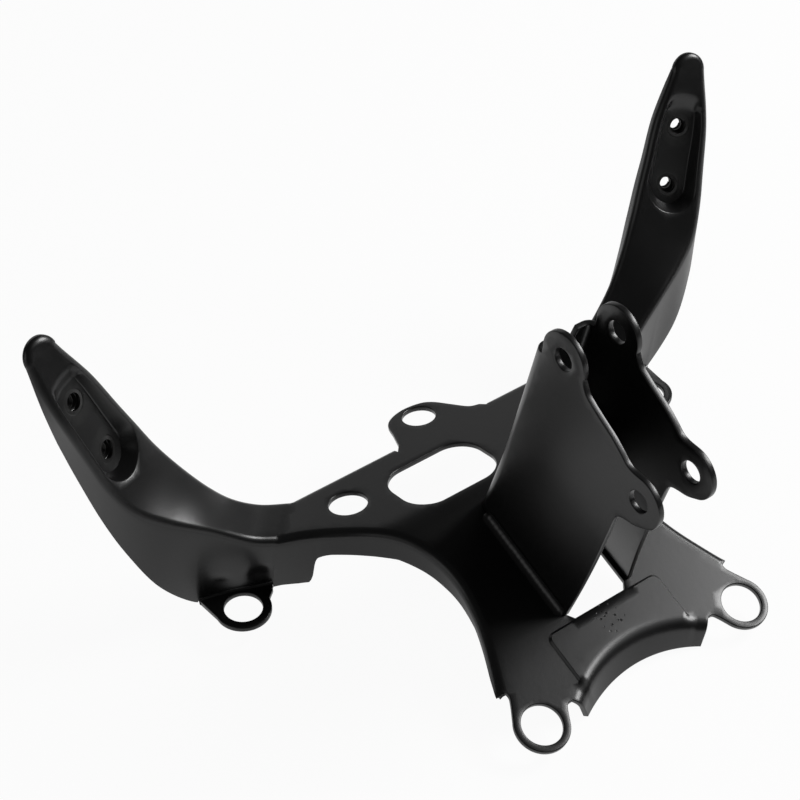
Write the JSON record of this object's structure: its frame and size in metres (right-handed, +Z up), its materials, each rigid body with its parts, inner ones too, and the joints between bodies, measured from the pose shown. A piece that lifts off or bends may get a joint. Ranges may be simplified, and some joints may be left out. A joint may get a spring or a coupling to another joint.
{
  "type": "motorcycle fairing stay",
  "caption": "Pressed steel front stay with upswept mirror horns, grommet ears and eyelets, and a folded headstock bracket welded on its sloping plate.",
  "frame": {"origin": "at mid width and mid length of the stay, level with the surface it rests on", "axes": "+X towards the right horn seen from the front eyelets, +Y from the eyelets to the crossmember, +Z up out of the surface it rests on"},
  "size_m": [0.4174, 0.2205, 0.1889],
  "materials": {
    "black_paint": "satin black stove enamel over pressed steel"
  },
  "bodies": {
    "root": {"stay_plate": "black_paint", "headstock_bracket": "black_paint", "weld_bead_left": "black_paint", "weld_bead_right": "black_paint", "weld_nut_left_lower": "black_paint", "weld_nut_left_upper": "black_paint", "weld_nut_right_lower": "black_paint", "weld_nut_right_upper": "black_paint"}
  },
  "joints": []
}
